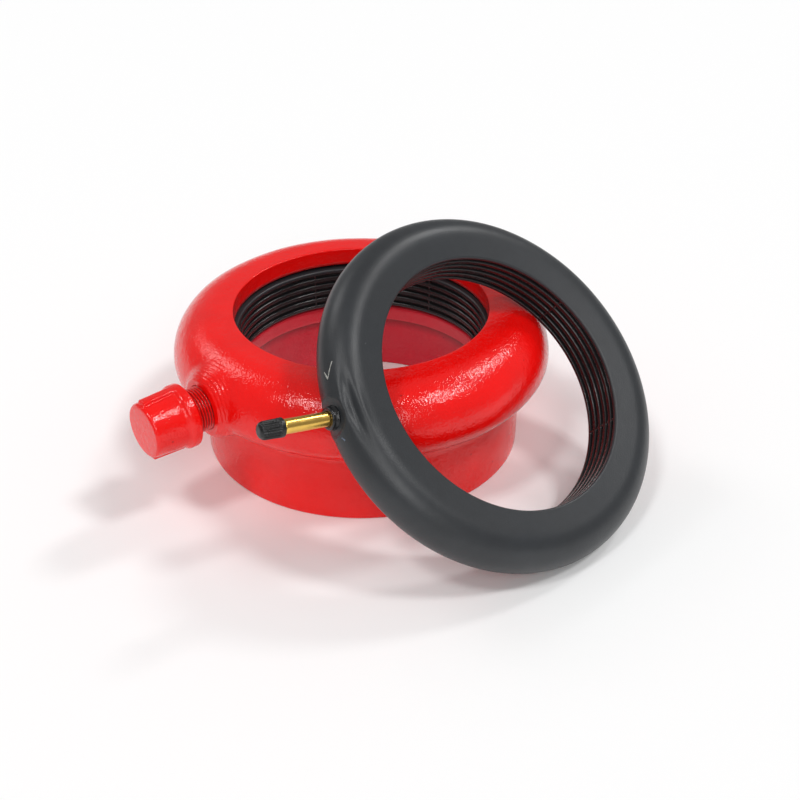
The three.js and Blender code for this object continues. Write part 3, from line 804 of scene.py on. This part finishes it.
def along_ring_axis(rows, turns, which, dips=0):
    """A grid turned about a ring's first axis, from rows of radius and distance from the ring's centre."""
    radius = np.repeat(rows[:, :1], len(turns), 1) - dips
    along = np.repeat(rows[:, 1:], len(turns), 1)
    own = np.stack([along, radius * np.cos(turns), radius * np.sin(turns)], -1)
    return placed(own, *ring_places[which])


stem_plain_rows = np.concatenate([
    stroke((stem_airway, stem_foot_start), (stem_foot_radius, stem_foot_start), 4),
    stroke((stem_foot_radius, stem_foot_start), (stem_foot_radius, stem_foot_end), 3),
    stroke((stem_foot_radius, stem_foot_end), (stem_radius, stem_foot_end), 3),
    stroke((stem_radius, stem_foot_end), (stem_radius, stem_shoulder - 0.5), 60),
    stroke((stem_radius, stem_shoulder - 0.5), (stem_thread_radius, stem_shoulder), 3),
])
stem_thread_rows = stroke(
    (stem_thread_radius, stem_shoulder), (stem_thread_radius, stem_mouth - 0.4), 110)
stem_rows = np.concatenate([
    stem_plain_rows, stem_thread_rows,
    stroke((stem_thread_radius, stem_mouth - 0.4), (stem_thread_radius - 0.5, stem_mouth), 3),
    stroke((stem_thread_radius - 0.5, stem_mouth), (stem_core_radius, stem_mouth), 3),
    stroke((stem_core_radius, stem_mouth), (stem_core_radius, stem_core_start), 20),
    stroke((stem_core_radius, stem_core_start), (stem_airway, stem_core_start), 3),
    stroke((stem_airway, stem_core_start), (stem_airway, stem_foot_start), 12),
])
stem_turns = np.linspace(0, 2 * math.pi, 72, endpoint=False)
stem_spiral = 0.5 - 0.5 * np.cos(stem_rows[:, 1:] / stem_thread_pitch * 2 * math.pi - stem_turns)
stem_row = np.arange(len(stem_rows)) - len(stem_plain_rows)
stem_threaded = (stem_row >= 3) & (stem_row < len(stem_thread_rows) - 2)
stem_dips = stem_thread_depth * stem_spiral * stem_threaded[:, None]
for which in ("fitted", "spare"):
    grid = along_ring_axis(stem_rows, stem_turns, which, stem_dips)
    stem = skin(f"{which}_stem_look", [(grid, True)], turned_brass(f"{which}_stem_brass", True), "base",
                f"{which}_valve_stem", marks={"along": np.repeat(stem_rows[:, 1:], len(stem_turns), 1)})

# Dust caps
# Moulded black plastic caps with a plain band at the mouth, fine ribs for the fingers and a domed end.

dust_radius, dust_rib_depth, dust_ribs = 5.3, 0.60, 22
dust_start, dust_tip, dust_dome = 139.0, 153.0, 3.4
dust_bore, dust_wall = 4.15, 149.9


def black_plastic(name):
    """Moulded black plastic with a satin skin and faint clouding in its colour, shine and surface."""
    made, tree, shader, place = new_material(name)
    cloud = noise(tree, place, 420, 3)
    shade = stretched(tree, cloud, 0.3, 0.7, 0.8, 1.25)
    colour = dimmed(tree, (0.006, 0.006, 0.0065), shade)
    tree.links.new(colour, shader.inputs["Base Color"])
    gloss = stretched(tree, cloud, 0.3, 0.7, 0.24, 0.36)
    tree.links.new(gloss, shader.inputs["Roughness"])
    bump = node(tree, "Bump", {"Height": cloud, "Strength": 0.3, "Distance": 0.0001}).outputs[0]
    tree.links.new(bump, shader.inputs["Normal"])
    return made


dust_rows = np.concatenate([
    stroke((dust_bore, dust_start), (dust_radius - 0.3, dust_start), 3),
    bend((dust_radius - 0.3, dust_start + 0.3), 0.3, 0.3, -90, 0, 3),
    stroke((dust_radius, dust_start + 0.3), (dust_radius, dust_start + 2.2), 6),
    stroke((dust_radius, dust_start + 2.2), (dust_radius - 0.12, dust_start + 2.5), 2),
    stroke((dust_radius - 0.12, dust_start + 2.5), (dust_radius - 0.3, dust_tip - dust_dome), 14),
    bend((dust_radius - 0.3 - dust_dome, dust_tip - dust_dome), dust_dome, dust_dome, 0, 90, 14),
    stroke((dust_radius - 0.3 - dust_dome, dust_tip), (0, dust_tip), 4),
    [(0, dust_tip)],
])
dust_inside = np.concatenate([
    stroke((0, dust_wall), (dust_bore, dust_wall), 4),
    stroke((dust_bore, dust_wall), (dust_bore, dust_start), 8),
    [(dust_bore, dust_start)],
])
dust_turns = np.linspace(0, 2 * math.pi, dust_ribs * 8, endpoint=False)
dust_share = np.clip((dust_rows[:, 1] - dust_start - 2.3) / 0.5, 0, 1) * np.clip(
    (dust_tip - 1.0 - dust_rows[:, 1]) / 1.6, 0, 1)
dust_dips = dust_rib_depth * dust_share[:, None] * np.abs(np.sin(dust_turns * dust_ribs / 2)) ** 1.5
for which, body in (("fitted", "base"), ("spare", "spare_dust_cap")):
    grids = [(along_ring_axis(dust_rows, dust_turns, which, dust_dips), False),
             (along_ring_axis(dust_inside, dust_turns, which), False)]
    dust_plastic = black_plastic(f"{which}_cap_plastic")
    dust_cap = skin(f"{which}_dust_cap_look", grids, dust_plastic, body, f"{which}_dust_cap")

# Valve cores and washers
# The small turned, moulded and wound pieces inside each stem and cap keep their CAD shape.


def spring_steel(name):
    """Drawn steel wire, a little uneven in its shine."""
    made, tree, shader, place = new_material(name)
    cloud = noise(tree, place, 900, 3)
    shader.inputs["Metallic"].default_value = 1
    shader.inputs["Base Color"].default_value = (0.5, 0.5, 0.5, 1)
    tree.links.new(stretched(tree, cloud, 0.3, 0.7, 0.25, 0.4), shader.inputs["Roughness"])
    return made


spring_wire = spring_steel("spring_steel")
core_brass, core_rubber = turned_brass("core_brass"), rubber("core_rubber")
for which in ("fitted", "spare"):
    for part_name, part_material in (
        ("core_plug", core_brass), ("core_pin", core_brass), ("core_cup", core_brass),
        ("core_gasket", core_rubber), ("cap_washer", core_rubber), ("core_spring", spring_wire),
    ):
        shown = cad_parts[f"{which}_{part_name}"].data
        shown.materials.clear()
        shown.materials.append(part_material)
